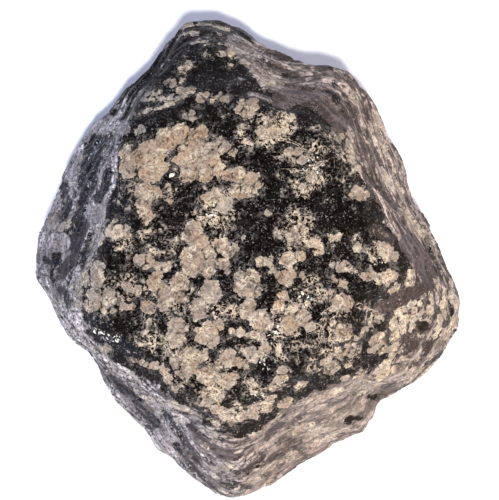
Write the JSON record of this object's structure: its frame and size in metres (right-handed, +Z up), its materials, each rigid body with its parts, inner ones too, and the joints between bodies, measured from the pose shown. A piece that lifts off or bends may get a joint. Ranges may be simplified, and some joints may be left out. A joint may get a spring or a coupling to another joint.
{
  "type": "raw obsidian",
  "caption": "Hand-sized lump of raw snowflake obsidian, black volcanic glass full of grey-tan flakes, lying on a small flat spot.",
  "frame": {"origin": "on the small flat spot that the stone lies on, under the middle of its box", "axes": "+Z up, through the broad crown; +Y along the stone's length; +X across its width"},
  "size_m": [0.1028, 0.1162, 0.064],
  "materials": {
    "obsidian": "black volcanic glass, dulled and pitted, crowded with grey-tan cristobalite flakes 3 to 6 mm across; a hazier grey-mauve skin on the steep sides"
  },
  "bodies": {
    "root": {"raw_obsidian": "obsidian"}
  },
  "joints": []
}
